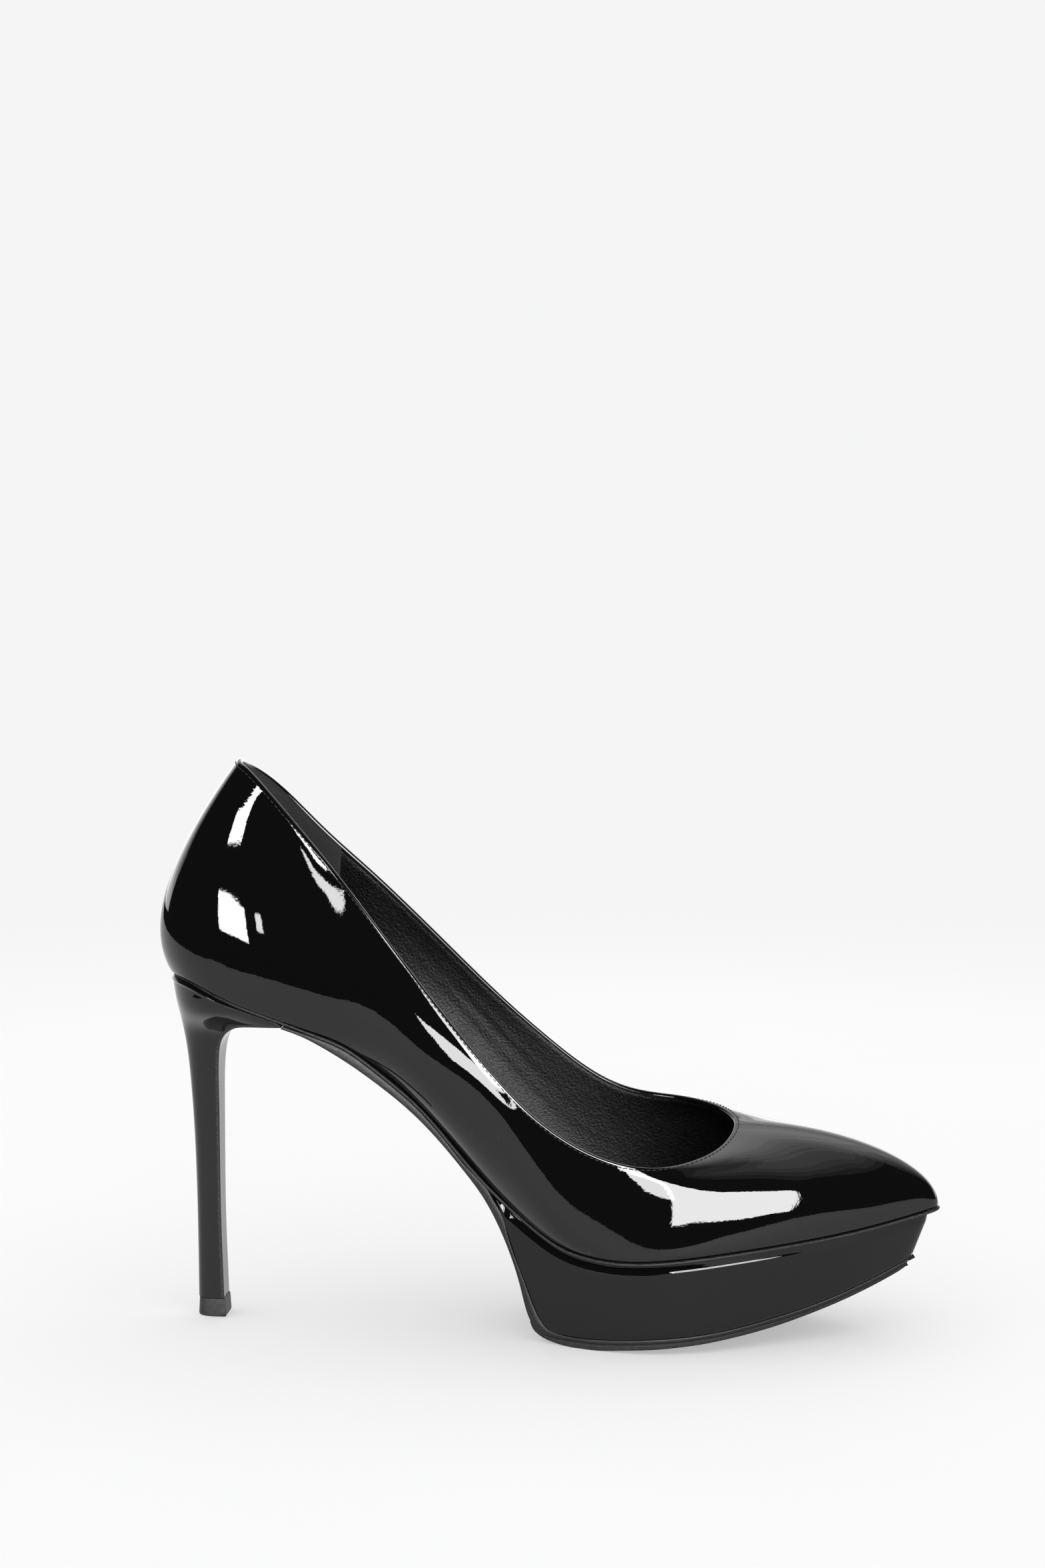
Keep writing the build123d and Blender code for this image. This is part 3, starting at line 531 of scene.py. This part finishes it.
# ------------------------------------------------------------------ rand
def rand_strip():
    """Welt strip under the upper. It hides behind the heel seat and stands out along the platform."""
    x0 = on_upper(U, 0)[..., 0]
    edge = 0.9 - 1.4 * blend(38, 54, x0)
    inner = 3.6 - 0.6 * blend(190, 226, x0)
    wear = 0.10 * np.sin(U * 610) * np.sin(U * 233 + 1) + 0.07 * np.sin(U * 1511)
    half, mid, deep = 0.50, -0.72, 0.55
    rows = [at_level(outline(U, inner), mid + half)]
    for a in np.linspace(math.pi / 2, -math.pi / 2, 11):
        inset = edge + deep - (deep + wear * 0.5) * math.cos(a)
        rows.append(at_level(outline(U, inset), mid + half * math.sin(a)))
    rows.append(at_level(outline(U, inner), mid - half))
    p = np.stack(rows, 1)
    make("rand_strip", p, sheet_faces(*p.shape[:2], loop=True), EDGE, "rand")


rand_strip()


# ------------------------------------------------------------------ platform
def narrow(xy, z):
    """Outline point of the tapering under-body at height z."""
    k = np.clip((36 - z) / 40, 0, None)
    x = xy[..., 0] - 2.3 * blend(205, 232, xy[..., 0]) - 15 * blend(135, 232, xy[..., 0]) * k
    return np.stack([x, xy[..., 1] * (1 - 0.075 * k)], -1)


platform_low = cubic(PLATFORM_LOW)
# under the rand the wrap leans out, with a crest along part of its length: drop, lean there, lean elsewhere
CREST = ((0.8, 0.46, 0.46), (1.2, 0.385, 0.385), (1.6, 0.31, 0.31), (2.0, 0.235, 0.235), (2.3, 0.175, 0.18),
         (2.42, 0.12, 0.157), (2.58, 0.04, 0.127), (2.7, 0.0, 0.105), (3.0, 0.0, 0.05), (3.35, 0.0, 0.0))


def platform_wrap():
    """Leather round the platform, turned in under the rand and at the sole."""
    u = np.linspace(0.2, 0.8, 1400)
    xy = outline(u, 0.25)
    z_top = level(xy[:, 0], SOLE_TOP)
    z = z_top.copy()
    for _ in range(12):                               # the sole's height where the narrowed wall meets it
        z = 0.5 * z + 0.5 * platform_low(np.clip(narrow(xy, z)[:, 0], 102.3, 236))
    keep = xy[:, 0] > 102.6
    u, xy, z_top, z_low = u[keep], xy[keep], z_top[keep], z[keep]
    inn = flat_inward(u)
    one = np.ones((len(u), 1))
    span = np.clip((z_top - z_low) / 6, 0.02, 1)
    r_low = 0.7 * span

    def at(zz, inset):
        q = narrow(xy, zz) + inset * inn
        return np.stack([q[:, 0], q[:, 1], zz], -1)

    rows = [at_level(narrow(xy, z_top) + inset * inn, SOLE_TOP) for inset in (5.0, 3.0, 2.0)]
    for a in np.linspace(0, math.pi / 2, 6):          # tight roll under the rand
        z = z_top - 0.45 * span * (1 - math.cos(a))
        rows.append(at(z, (0.52 + 0.40 * span * (1 - math.sin(a)))[:, None]))
    sharp = (blend(150, 157, xy[:, 0]) * (1 - blend(188, 196, xy[:, 0])))[:, None]
    for drop, crest, elsewhere in CREST:
        rows.append(at(z_top - drop * span, sharp * crest + (1 - sharp) * elsewhere))
    for t in np.linspace(0, 1, 26)[1:-1]:
        rows.append(at((z_top - 3.5 * span) * (1 - t) + (z_low + r_low) * t, 0 * one))
    for a in np.linspace(0, math.pi / 2, 6):          # rounded lower edge
        rows.append(at(z_low + r_low * (1 - math.sin(a)), (r_low * (1 - math.cos(a)))[:, None]))
    for z in (z_low, z_low + 0.9 * span, z_top - 1.0 * span):
        rows.append(at(z, 2.0 * one))
    p = np.stack(rows, 1)
    make("platform_wrap", p, sheet_faces(*p.shape[:2]), PATENT_BOTTOM, "platform_cover")


platform_wrap()


# ------------------------------------------------------------------ soles
def side_limits(x, z, inset):
    """y of both sides of the under-body at (x, z), moved in by inset(x)."""
    u = np.linspace(0, 1, 2001)
    base = outline(u, inset(on_upper(u, 0)[:, 0]))
    q = narrow(base, z)
    half = len(u) // 2
    lo, hi = q[:half + 1], q[half:][::-1]
    ya = np.interp(x, lo[:, 0], lo[:, 1])
    yb = np.interp(x, hi[:, 0], hi[:, 1])
    return ya, yb


def strap(name, low, high, inset, material, node_name, bevel=0.35, ragged=0.0):
    """Sole sheet between two matching side profiles, across the shoe, with rounded side edges."""
    rows = []
    across = 28
    for i, ((xb, zb), (xt, zt)) in enumerate(zip(low, high)):
        ya, yb = side_limits(xb, zb, inset)
        yc, yd = side_limits(xt, zt, inset)
        thick = math.hypot(xt - xb, zt - zb)
        bv = min(bevel, thick * 0.45)
        d = np.array([xt - xb, zt - zb]) / max(thick, 1e-6)
        jit = ragged * (rng.uniform(-1, 1) * 0.6 + math.sin(i * 1.7) * 0.4)

        def pt(k, y):
            return (xb + d[0] * k, y, zb + d[1] * k)

        ring = []
        for a in np.linspace(0, math.pi / 2, 4):
            ring.append(pt(bv * (1 - math.sin(a)), yb - bv * (1 - math.cos(a)) + jit * 0.5))
        for t in np.linspace(1, 0, across)[1:-1]:
            ring.append(pt(0.0, (ya + bv) * (1 - t) + (yb - bv) * t))
        for a in np.linspace(math.pi / 2, 0, 4):
            ring.append(pt(bv * (1 - math.sin(a)), ya + bv * (1 - math.cos(a)) - jit * 0.5))
        ring += [pt(thick * 0.5, (ya + yc) / 2 - jit), pt(thick - bv * 0.6, yc), pt(thick, yc + bv * 0.6)]
        for t in np.linspace(0, 1, 8)[1:-1]:
            ring.append(pt(thick, yc * (1 - t) + yd * t))
        ring += [pt(thick, yd - bv * 0.6), pt(thick - bv * 0.6, yd), pt(thick * 0.5, (yb + yd) / 2 + jit)]
        rows.append(ring)
    p = np.array(rows)
    make(name, p, tube_faces(*p.shape[:2]), material, node_name)


def normals_2d(p):
    """Unit normals to the left of a 2-D line."""
    t = np.gradient(p, axis=0)
    return np.stack([-t[:, 1], t[:, 0]], 1) / np.linalg.norm(t, axis=1)[:, None]


def nearest(line, points):
    """For each point the nearest one of a dense line."""
    return np.array([line[np.argmin(((line - q)**2).sum(1))] for q in points])


def sole_inset(x):
    return 0.1 + 0.5 * blend(100, 112, x)


def half_sole_inset(x):
    return 0.8 + 0 * x


SOLE_FRONT, HALF_SOLE_FRONT = 224.6, 222.6
SKIN = 0.07                                    # sheets lie this far below the one above

sole_low = path_curve(WAIST_BASE, 420)
top_points = [(x, float(level(x, SOLE_TOP))) for x in np.linspace(40, 100.6, 12)]
top_points += [(102.2, 40.9), (103.75, 38.9), (106.1, 31.7), (108.95, 23.4), (111.7, 16.4), (113.7, 11.3),
               (115.75, 7.1), (118.2, 4.5), (122, 3.42)] + [(x, z - SKIN) for x, z in PLATFORM_LOW[9:-1]]
sole_high = nearest(path_curve(top_points, 1600), sole_low)
sole_high = np.stack([np.convolve(np.pad(c, 4, mode="edge"), np.ones(9) / 9, "valid") for c in sole_high.T], 1)
cut = sole_low[:, 0] < SOLE_FRONT
strap("outsole_leather", sole_low[cut], sole_high[cut], sole_inset, SOLE, "outsole")

tread_low = path_curve(TREAD_BASE, 300)
tread_top = [(112.75, 6.45), (115.25, 3.5), (119, 2.22)] + [(x, z - SKIN - 0.01) for x, z in WAIST_BASE[17:]]
tread_high = nearest(path_curve(tread_top, 1200), tread_low)
cut = tread_low[:, 0] < HALF_SOLE_FRONT
strap("half_sole_rubber", tread_low[cut], tread_high[cut], half_sole_inset, RUBBER, "half_sole",
      bevel=0.5, ragged=0.12)


# ------------------------------------------------------------------ heel
HB, HD, HH, HG = (cubic([(row[0], row[k]) for row in reversed(HORN)]) for k in (1, 2, 3, 4))


def horn_y(x, z):
    """Half width of the heel at (x, z)."""
    b, d, h, g = HB(z), HD(z), HH(z), HG(z)
    c = np.clip(1 - (x - b) / d, -1, 1)
    round_part = h * np.sqrt(np.clip(1 - np.clip(c, 0, 1)**2, 0, 1))
    t = np.clip((x - b - d) / (46 - b - d), 0, 1)
    return np.where(x < b + d, round_part, h + (g - h) * (3 * t**2 - 2 * t**3) * 0.35 + (g - h) * t * 0.65)


breast_out = path_curve(BREAST[::-1], 900)             # from the tip upward and forward
breast_in = breast_out + normals_2d(breast_out) * 1.0
HORN_LOW, HORN_BEND = 5.6, 80                          # from here up, rows tilt from level to the seat line


def heel_rows(edge, n=150, m=64):
    """Rows from the tip to the seat. Each row runs from the back to the breast edge."""
    rows = []
    for k in range(n):
        s = k / (n - 1)
        base = HORN_LOW + (HORN_BEND - HORN_LOW) * min(s / 0.6, 1.0)
        w = max(0.0, (s - 0.6) / 0.4)

        def row_z(x):
            return (1 - w) * (base + 8.0 * w) + w * level(np.clip(x, 3.5, 45), SOLE_TOP)

        xb = 6.0
        for _ in range(20):                            # where the row meets the back of the heel
            xb = float(HB(row_z(xb)))
        above = edge[:, 1] - row_z(edge[:, 0]) >= 0
        xf = edge[np.argmax(above) if above.any() else len(edge) - 1, 0]
        c = np.linspace(0, 1, m)
        x = xb + (xf - xb) * (1 - np.cos(c * math.pi / 2)) ** 1.15
        z = row_z(x)
        y = horn_y(x, z)
        y[0] = 0.0
        rows.append(np.stack([x, y, z], -1))
    return np.array(rows)


def heel_wrap():
    """Leather round the heel, with a rolled lip along the seat."""
    r = heel_rows(breast_in)
    n, m = r.shape[:2]
    s = np.linspace(0, 1, n)
    lip = 0.30 * np.exp(-((s - 0.982) / 0.010)**2) - 0.35 * np.clip((s - 0.992) / 0.008, 0, 1)
    side = np.concatenate([r[:, ::-1] * np.array([1, -1, 1]), r[:, 1:]], 1)
    nn = np.cross(np.gradient(side, axis=1), np.gradient(side, axis=0))
    nn /= np.maximum(np.linalg.norm(nn, axis=-1, keepdims=True), 1e-9)
    side = side + lip[:, None, None] * nn * np.sign(np.sum(nn[n // 2, m] * np.array([-1, 0, 0])))
    turned_in = side[-1] + (np.array([21.0, 0, 0]) - side[-1]) * np.array([0.14, 0.14, 0])
    turned_in[:, 2] = level(turned_in[:, 0], SOLE_TOP)
    p = np.concatenate([side, turned_in[None]], 0)
    make("heel_wrap", p, grid_faces(*p.shape[:2]), PATENT_HEEL, "heel_cover")


heel_wrap()


def heel_flap():
    """Leather down the front of the heel, with its raw edge."""
    across, n = 17, 260
    rows = []
    for k, i in enumerate(np.linspace(0, len(breast_out) - 1, n).astype(int)):
        o, q = breast_out[i], breast_in[i]
        yo, yi = float(horn_y(o[0], o[1])), float(horn_y(q[0], q[1]))
        jit = 0.10 * math.sin(k * 0.9) + 0.08 * rng.uniform(-1, 1)
        mid, near = q * 0.5 + o * 0.5, q * 0.12 + o * 0.88
        swell = (yi + yo) / 2 + 0.10 + jit * 0.4
        ring = [(q[0], yi, q[1]), (mid[0], swell, mid[1]), (near[0], yo + 0.02, near[1])]
        ring += [(o[0], (yo - 0.12) * t, o[1]) for t in np.linspace(1, -1, across)]
        ring += [(near[0], -yo - 0.02, near[1]), (mid[0], -swell, mid[1]), (q[0], -yi, q[1])]
        rows.append(ring)
    p = np.array(rows)
    nv = p.shape[1]
    o = make("heel_breast_flap", p, tube_faces(n, nv), PATENT_HEEL, "breast_flap")
    o.data.materials.append(RAW)
    for f in o.data.polygons:                          # the three outermost columns are the cut edge
        j = [v % nv for v in f.vertices]
        if len(f.vertices) == 4 and (max(j) <= 2 or min(j) >= nv - 3):
            f.material_index = 1


heel_flap()


def heel_tip():
    """Moulded top piece, slightly wider toward the ground."""
    def ring(z, grow):
        side, back, corner = 4.45 + grow, 10.9 - grow, (12.1 - grow * 0.8, 3.2 + grow * 0.6)
        q = path_curve([(19.3 + grow, side), (15.2, side), corner, (back, 0), (corner[0], -corner[1]),
                        (15.2, -side), (19.3 + grow, -side)], 60)
        front_edge = [(19.3 + grow, y) for y in np.linspace(-side, side, 14)[1:-1]]
        return [(x, y, z) for x, y in list(q) + front_edge]

    levels = [(TIP_H, -0.55), (TIP_H, -0.25), (TIP_H - 0.12, -0.04), (TIP_H - 0.35, 0.0), (3.6, 0.08),
              (1.6, 0.18), (0.45, 0.24), (0.12, 0.16), (0.0, -0.1)]
    p = np.array([ring(z, g) for z, g in levels])
    make("heel_tip_piece", p, tube_faces(*p.shape[:2]), TIP, "top_piece")


heel_tip()


# ------------------------------------------------------------------ sock and foam
def inlay(name, bottom, top, inset, material, node_name, crown=0.0, to_lining=False):
    """A sheet on the insole between two heights, with rounded edges, that may reach out to the lining."""
    nu, rings = 400, 30
    u = np.arange(nu) / nu
    mid_x = np.clip(on_upper(u, 0)[:, 0], 30, 200)
    spine = np.stack([mid_x * 0.92 + 8, 0.6 + 0 * mid_x], -1)
    wall = np.array([on_upper(u, v) + LINING_FACE * inward(u, v) for v in np.linspace(0, 0.3, 61)])
    rise = wall[..., 2] - level(wall[..., 0], 4.5)
    meets = wall[np.argmax(rise > 0, axis=0), np.arange(nu), :2]     # lining face at sock height
    reach = np.minimum(0, np.sum((meets - outline(u, 0)) * flat_inward(u), axis=-1) - inset) * to_lining
    last = outline(u, inset + 0.45 + reach)
    rows = []
    if crown:
        rows.append(at_level(spine * 0.98 + last * 0.02, bottom))    # closes the underside
    for n, back in ((bottom, 0.5), (bottom + 0.05, 0.12), ((bottom + top) / 2, 0.0), (top - 0.1, 0.12),
                    (top, 0.45)):
        rows.append(at_level(outline(u, inset + back + reach), n))
    for t in np.linspace(0, 1, rings)[1:]:
        rows.append(at_level(last * (1 - t) + spine * t, top + crown * (1 - (1 - t)**2)))
    return make(name, np.stack(rows, 1), grid_faces(nu, len(rows), True), material, node_name)


inlay("sock_leather", 4.25, 5.0, 2.6, LINING, "sock_lining", to_lining=True)
FOAM = plain("foam", (0.85, 0.8, 0.6), 0.95, 2400, 0.0002, vary=0.12)
foam_pad = inlay("sock_foam_pad", 3.3, 4.1, 3.7, FOAM, "sock_foam", crown=0.08)

# ------------------------------------------------------------------ carried-over inner parts
STEEL = plain("spring_steel", (0.42, 0.43, 0.45), 0.35, 300, 0.00002, metal=1.0, vary=0.15, stretch=(1, 9, 9))
PLATED = plain("plated_steel", (0.55, 0.55, 0.56), 0.3, 500, 0.00002, metal=1.0, vary=0.1)
TAPE = plain("nylon_tape", (0.03, 0.03, 0.032), 0.7, 2500, 0.00008, stretch=(1, 1, 6))
COUNTER = plain("counter_sheet", (0.06, 0.06, 0.062), 0.55, 700, 0.00006, vary=0.12)
INTERLINING = plain("interlining", (0.035, 0.035, 0.037), 0.9, 3000, 0.0001, vary=0.15)
CORK = plain("granulated_cork", (0.55, 0.38, 0.22), 0.9, 450, 0.0003, vary=0.4)
KEPT = {
    "topline_tape": TAPE, "back_seam_tape": TAPE, "heel_counter": COUNTER, "toe_puff": COUNTER,
    "side_stiffener_lateral": INTERLINING, "side_stiffener_medial": INTERLINING,
    "platform_core": CORK, "bottom_filler": CORK, "steel_shank": STEEL,
    "heel_tube": PLATED, "shank_rivets": PLATED, "heel_screw": PLATED, "heel_nails": PLATED,
    "top_piece_dowel": PLATED,
    "insole_board": plain("fibre_board", (0.10, 0.08, 0.06), 0.85, 1200, 0.0001, vary=0.25),
    "heel_core": plain("moulded_plastic", (0.8, 0.78, 0.72), 0.45, 300, 0.00003, vary=0.06),
}
for name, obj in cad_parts.items():
    if name in KEPT:
        obj.data.materials.clear()
        obj.data.materials.append(KEPT[name])

# ------------------------------------------------------------------ floor, light, camera
PALE = (0.915, 0.915, 0.92)                    # background grey


def floor_material():
    """White board that turns, far from the shoe, into the plain background tone."""
    m, nt, p = new_material("floor_board")
    nt.links.new(ramp(nt, noise(nt, 3, 3), [(0.3, (0.46, 0.46, 0.462)), (0.7, (0.48, 0.48, 0.482))]),
                 p.inputs["Base Color"])
    p.inputs["Emission Color"].default_value = (1.0, 1.0, 1.004, 1)   # a lit table, so shadows are thin
    p.inputs["Emission Strength"].default_value = 0.42
    p.inputs["Roughness"].default_value = 0.8
    p.inputs["Specular IOR Level"].default_value = 0.1
    co = nt.nodes.new("ShaderNodeTexCoord")
    length = nt.nodes.new("ShaderNodeVectorMath")
    length.operation = "LENGTH"
    nt.links.new(co.outputs["Object"], length.inputs[0])
    far = nt.nodes.new("ShaderNodeMapRange")
    far.interpolation_type = "SMOOTHSTEP"
    far.inputs["From Min"].default_value = 0.35
    far.inputs["From Max"].default_value = 0.85
    nt.links.new(length.outputs["Value"], far.inputs["Value"])
    glow = node(nt, "ShaderNodeEmission", Color=(*PALE, 1))
    mix = nt.nodes.new("ShaderNodeMixShader")
    nt.links.new(far.outputs["Result"], mix.inputs["Fac"])
    nt.links.new(p.outputs[0], mix.inputs[1])
    nt.links.new(glow.outputs[0], mix.inputs[2])
    nt.links.new(mix.outputs[0], nt.nodes["Material Output"].inputs["Surface"])
    return m


FRONT, BACK_EDGE, HALF, FLOOR_Z = -0.50, 4.0, 0.62, -0.00004        # the board's edges and top, m
mesh = bpy.data.meshes.new("floor")
mesh.from_pydata([(-HALF, FRONT, FLOOR_Z), (HALF + 0.5, FRONT, FLOOR_Z), (HALF + 1.5, BACK_EDGE, FLOOR_Z),
                  (-HALF - 1.5, BACK_EDGE, FLOOR_Z)], [], [(0, 1, 2, 3)])
floor = bpy.data.objects.new("floor", mesh)
bpy.context.scene.collection.objects.link(floor)
mesh.materials.append(floor_material())


def new_light(name, kind, power):
    light = bpy.data.lights.new(name, kind)
    light.energy = power
    o = bpy.data.objects.new(name, light)
    bpy.context.scene.collection.objects.link(o)
    return o


def panel(name, size, power):
    """Rectangular soft box that is seen in reflections only. Size in metres."""
    o = new_light(name, "AREA", power)
    o.data.shape = "RECTANGLE"
    o.data.size, o.data.size_y = size
    o.visible_diffuse = False
    return o


def box(name, direction, distance, size, power, roll=0.0):
    """Panel seen from the shoe toward (azimuth from the camera side, elevation), size in degrees too."""
    az, el = (math.radians(a) for a in direction)
    away = Vector((math.sin(az) * math.cos(el), -math.cos(az) * math.cos(el), math.sin(el)))
    o = panel(name, [2 * distance * math.tan(math.radians(s / 2)) for s in size], power)
    o.location = Vector((0.0, -0.02, 0.07)) + distance * away
    turn = Quaternion((0.0, 0.0, 1.0), math.radians(roll))
    o.rotation_euler = ((-away).to_track_quat("-Z", "Y") @ turn).to_euler()


box("left_low_window", (-33, 10.3), 2.0, (18, 9.5), 19)
box("left_high_window", (-36, 25.5), 2.0, (13, 3.8), 6.0)
box("right_box", (28, 17.5), 1.8, (38, 24), 66, roll=-7.0)
for name, height, high, power in (("low", 3, 10, 22), ("middle", 11, 6, 9.5), ("high", 17, 6, 6.0),
                                  ("top", 23, 6, 2.8)):
    box("rear_wall_" + name, (180, height), 2.2, (125, high), power)
for k in range(5):                             # panel over the back that fades toward its rim
    grow = 0.3 + 0.2 * k
    box(f"rear_panel_{k}", (172, 46), 1.8 + 0.02 * k, (82 * grow, 52 * grow), 5.0 * grow**2)
for k in range(4):                             # faint one above the toe, fading too
    grow = 0.35 + 0.25 * k
    box(f"ridge_panel_{k}", (105, 64), 1.8 + 0.02 * k, (60 * grow, 22 * grow), 0.9 * grow**2)

# small lights close beside the shoe, mirrored at the waist, in the quarter and above the vamp
BESIDE = -250.0                                # their y in heel-back millimetres
for name, x, z, wide, high, power in (("waist_light", 90, 108, 76, 54, 0.26),
                                      ("quarter_light", -17, 175, 16, 21, 0.021),
                                      ("vamp_light", 157, 140, 60, 70, 0.27)):
    o = panel(name, (wide / 1000, high / 1000), power)
    o.location = ((np.array([x, BESIDE, z]) + SHIFT) / 1000).tolist()
    o.rotation_euler = (math.radians(90), 0.0, 0.0)
    o.visible_camera = False

sun = new_light("room_light", "SUN", 1.05)
sun.data.angle = math.radians(110)
sun.rotation_euler = Vector((0.05, 0.2, -1.0)).to_track_quat("-Z", "Y").to_euler()
sun.visible_glossy = False

world = bpy.data.worlds.new("studio")
bpy.context.scene.world = world
world.use_nodes = True
wn = world.node_tree
bg = wn.nodes["Background"]
path = wn.nodes.new("ShaderNodeLightPath")
mix = wn.nodes.new("ShaderNodeMixRGB")
mix.inputs[1].default_value = (0.012, 0.0125, 0.013, 1)             # the dark room, as the lacquer mirrors it
mix.inputs[2].default_value = (*PALE, 1)
wn.links.new(path.outputs["Is Camera Ray"], mix.inputs[0])
soft = wn.nodes.new("ShaderNodeMixRGB")
soft.inputs[2].default_value = (0.8, 0.8, 0.805, 1)                 # fill light
wn.links.new(path.outputs["Is Diffuse Ray"], soft.inputs[0])
wn.links.new(mix.outputs[0], soft.inputs[1])
wn.links.new(soft.outputs[0], bg.inputs["Color"])

CAMERA_AZ, CAMERA_EL = math.radians(5.66), math.radians(6.63)
CAMERA_AT = np.array([204.2, -966.3, 274.1])   # heel-back millimetres
FOCAL, LONG_SIDE = 5008, 2352                  # in the same unit, for the lens
camera = bpy.data.cameras.new("camera")
camera.sensor_fit = "AUTO"
camera.sensor_width = 36
camera.lens = FOCAL * camera.sensor_width / LONG_SIDE
camera.clip_start = 0.01
cam = bpy.data.objects.new("camera", camera)
bpy.context.scene.collection.objects.link(cam)
cam.location = (CAMERA_AT + SHIFT) / 1000
cam.rotation_euler = (math.pi / 2 - CAMERA_EL, 0, CAMERA_AZ)
bpy.context.scene.camera = cam
bpy.context.scene.view_settings.view_transform = "Standard"
